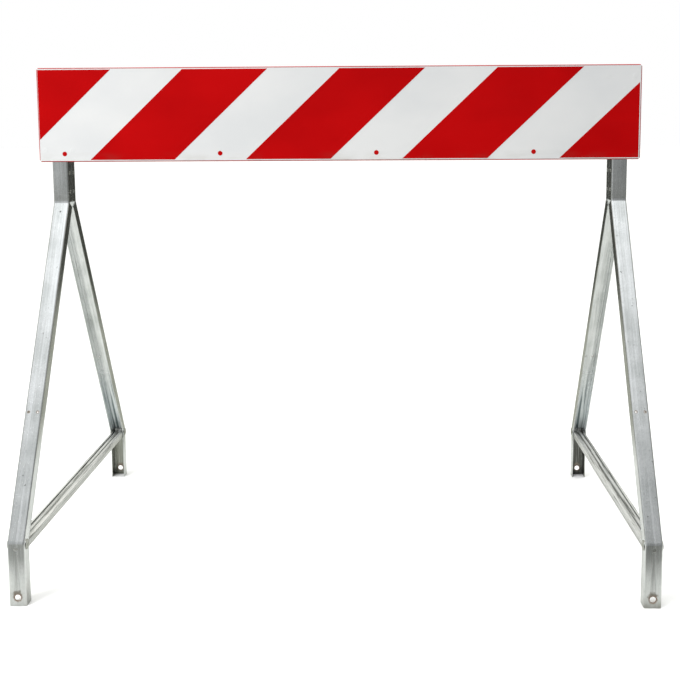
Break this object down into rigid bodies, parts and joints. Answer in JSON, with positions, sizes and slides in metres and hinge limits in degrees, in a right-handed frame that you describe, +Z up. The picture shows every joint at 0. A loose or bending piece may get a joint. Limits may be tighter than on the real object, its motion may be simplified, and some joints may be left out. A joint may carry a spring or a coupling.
{
  "type": "road works barricade",
  "caption": "Free-standing road barricade: a striped red and white board carried by two bent-channel trestles with foot braces.",
  "frame": {"origin": "on the ground, under the middle of the board, midway between the front and rear feet", "axes": "+X to the right along the board as seen from its striped face, +Y away from the viewer (the striped face looks along -Y), +Z up"},
  "size_m": [1.29, 0.76, 1.035],
  "materials": {
    "galvanised_sheet": "hot-dip zinc-coated steel sheet, dull with faint spangle",
    "galvanised_bracket": "zinc-coated steel strip, folded, dull grey",
    "galvanised_leg": "pre-galvanised steel strip, semi-bright with lengthwise mill lines",
    "white_reflective_film": "white retroreflective film, satin",
    "red_reflective_film": "transparent red ink over retroreflective film, satin gloss",
    "zinc_fastener": "bright zinc-plated steel",
    "aluminium_rivet": "plain aluminium blind rivet, dull",
    "cast_wing_iron": "malleable cast wing, zinc-plated, rough"
  },
  "bodies": {
    "board": {"rail_panel": "galvanised_sheet", "white_film": "white_reflective_film", "red_bar_1": "red_reflective_film", "red_bar_2": "red_reflective_film", "red_bar_3": "red_reflective_film", "red_bar_4": "red_reflective_film", "red_bar_5": "red_reflective_film", "film_roundels": "red_reflective_film", "upper_bracket_left": "galvanised_bracket", "lower_bracket_left": "galvanised_bracket", "bracket_rivets_left": "zinc_fastener", "weld_nut_left": "zinc_fastener", "upper_bracket_right": "galvanised_bracket", "lower_bracket_right": "galvanised_bracket", "bracket_rivets_right": "zinc_fastener", "weld_nut_right": "zinc_fastener"},
    "trestle_left": {"front_leg_left": "galvanised_leg", "rear_leg_left": "galvanised_leg", "post_core_left": "galvanised_bracket", "blind_rivets_left": "aluminium_rivet", "foot_brace_left": "galvanised_leg", "brace_rivets_left": "zinc_fastener"},
    "screw_left": {"clamp_screw_left": "zinc_fastener", "clamp_wing_left": "cast_wing_iron"},
    "trestle_right": {"front_leg_right": "galvanised_leg", "rear_leg_right": "galvanised_leg", "post_core_right": "galvanised_bracket", "blind_rivets_right": "aluminium_rivet", "foot_brace_right": "galvanised_leg", "brace_rivets_right": "zinc_fastener"},
    "screw_right": {"clamp_screw_right": "zinc_fastener", "clamp_wing_right": "cast_wing_iron"}
  },
  "joints": [
    {"name": "trestle_left_slide", "type": "slide", "parent": "board", "child": "trestle_left", "axis": [0, 0, -1], "range_m": [0, 0.17]},
    {"name": "clamp_left_turn", "type": "hinge", "parent": "board", "child": "screw_left", "pos_m": [-0.602, 0.04, 0.865], "axis": [0, 1, 0], "range_deg": [0, 450]},
    {"name": "trestle_right_slide", "type": "slide", "parent": "board", "child": "trestle_right", "axis": [0, 0, -1], "range_m": [0, 0.17]},
    {"name": "clamp_right_turn", "type": "hinge", "parent": "board", "child": "screw_right", "pos_m": [0.602, 0.04, 0.865], "axis": [0, 1, 0], "range_deg": [0, 450]}
  ]
}
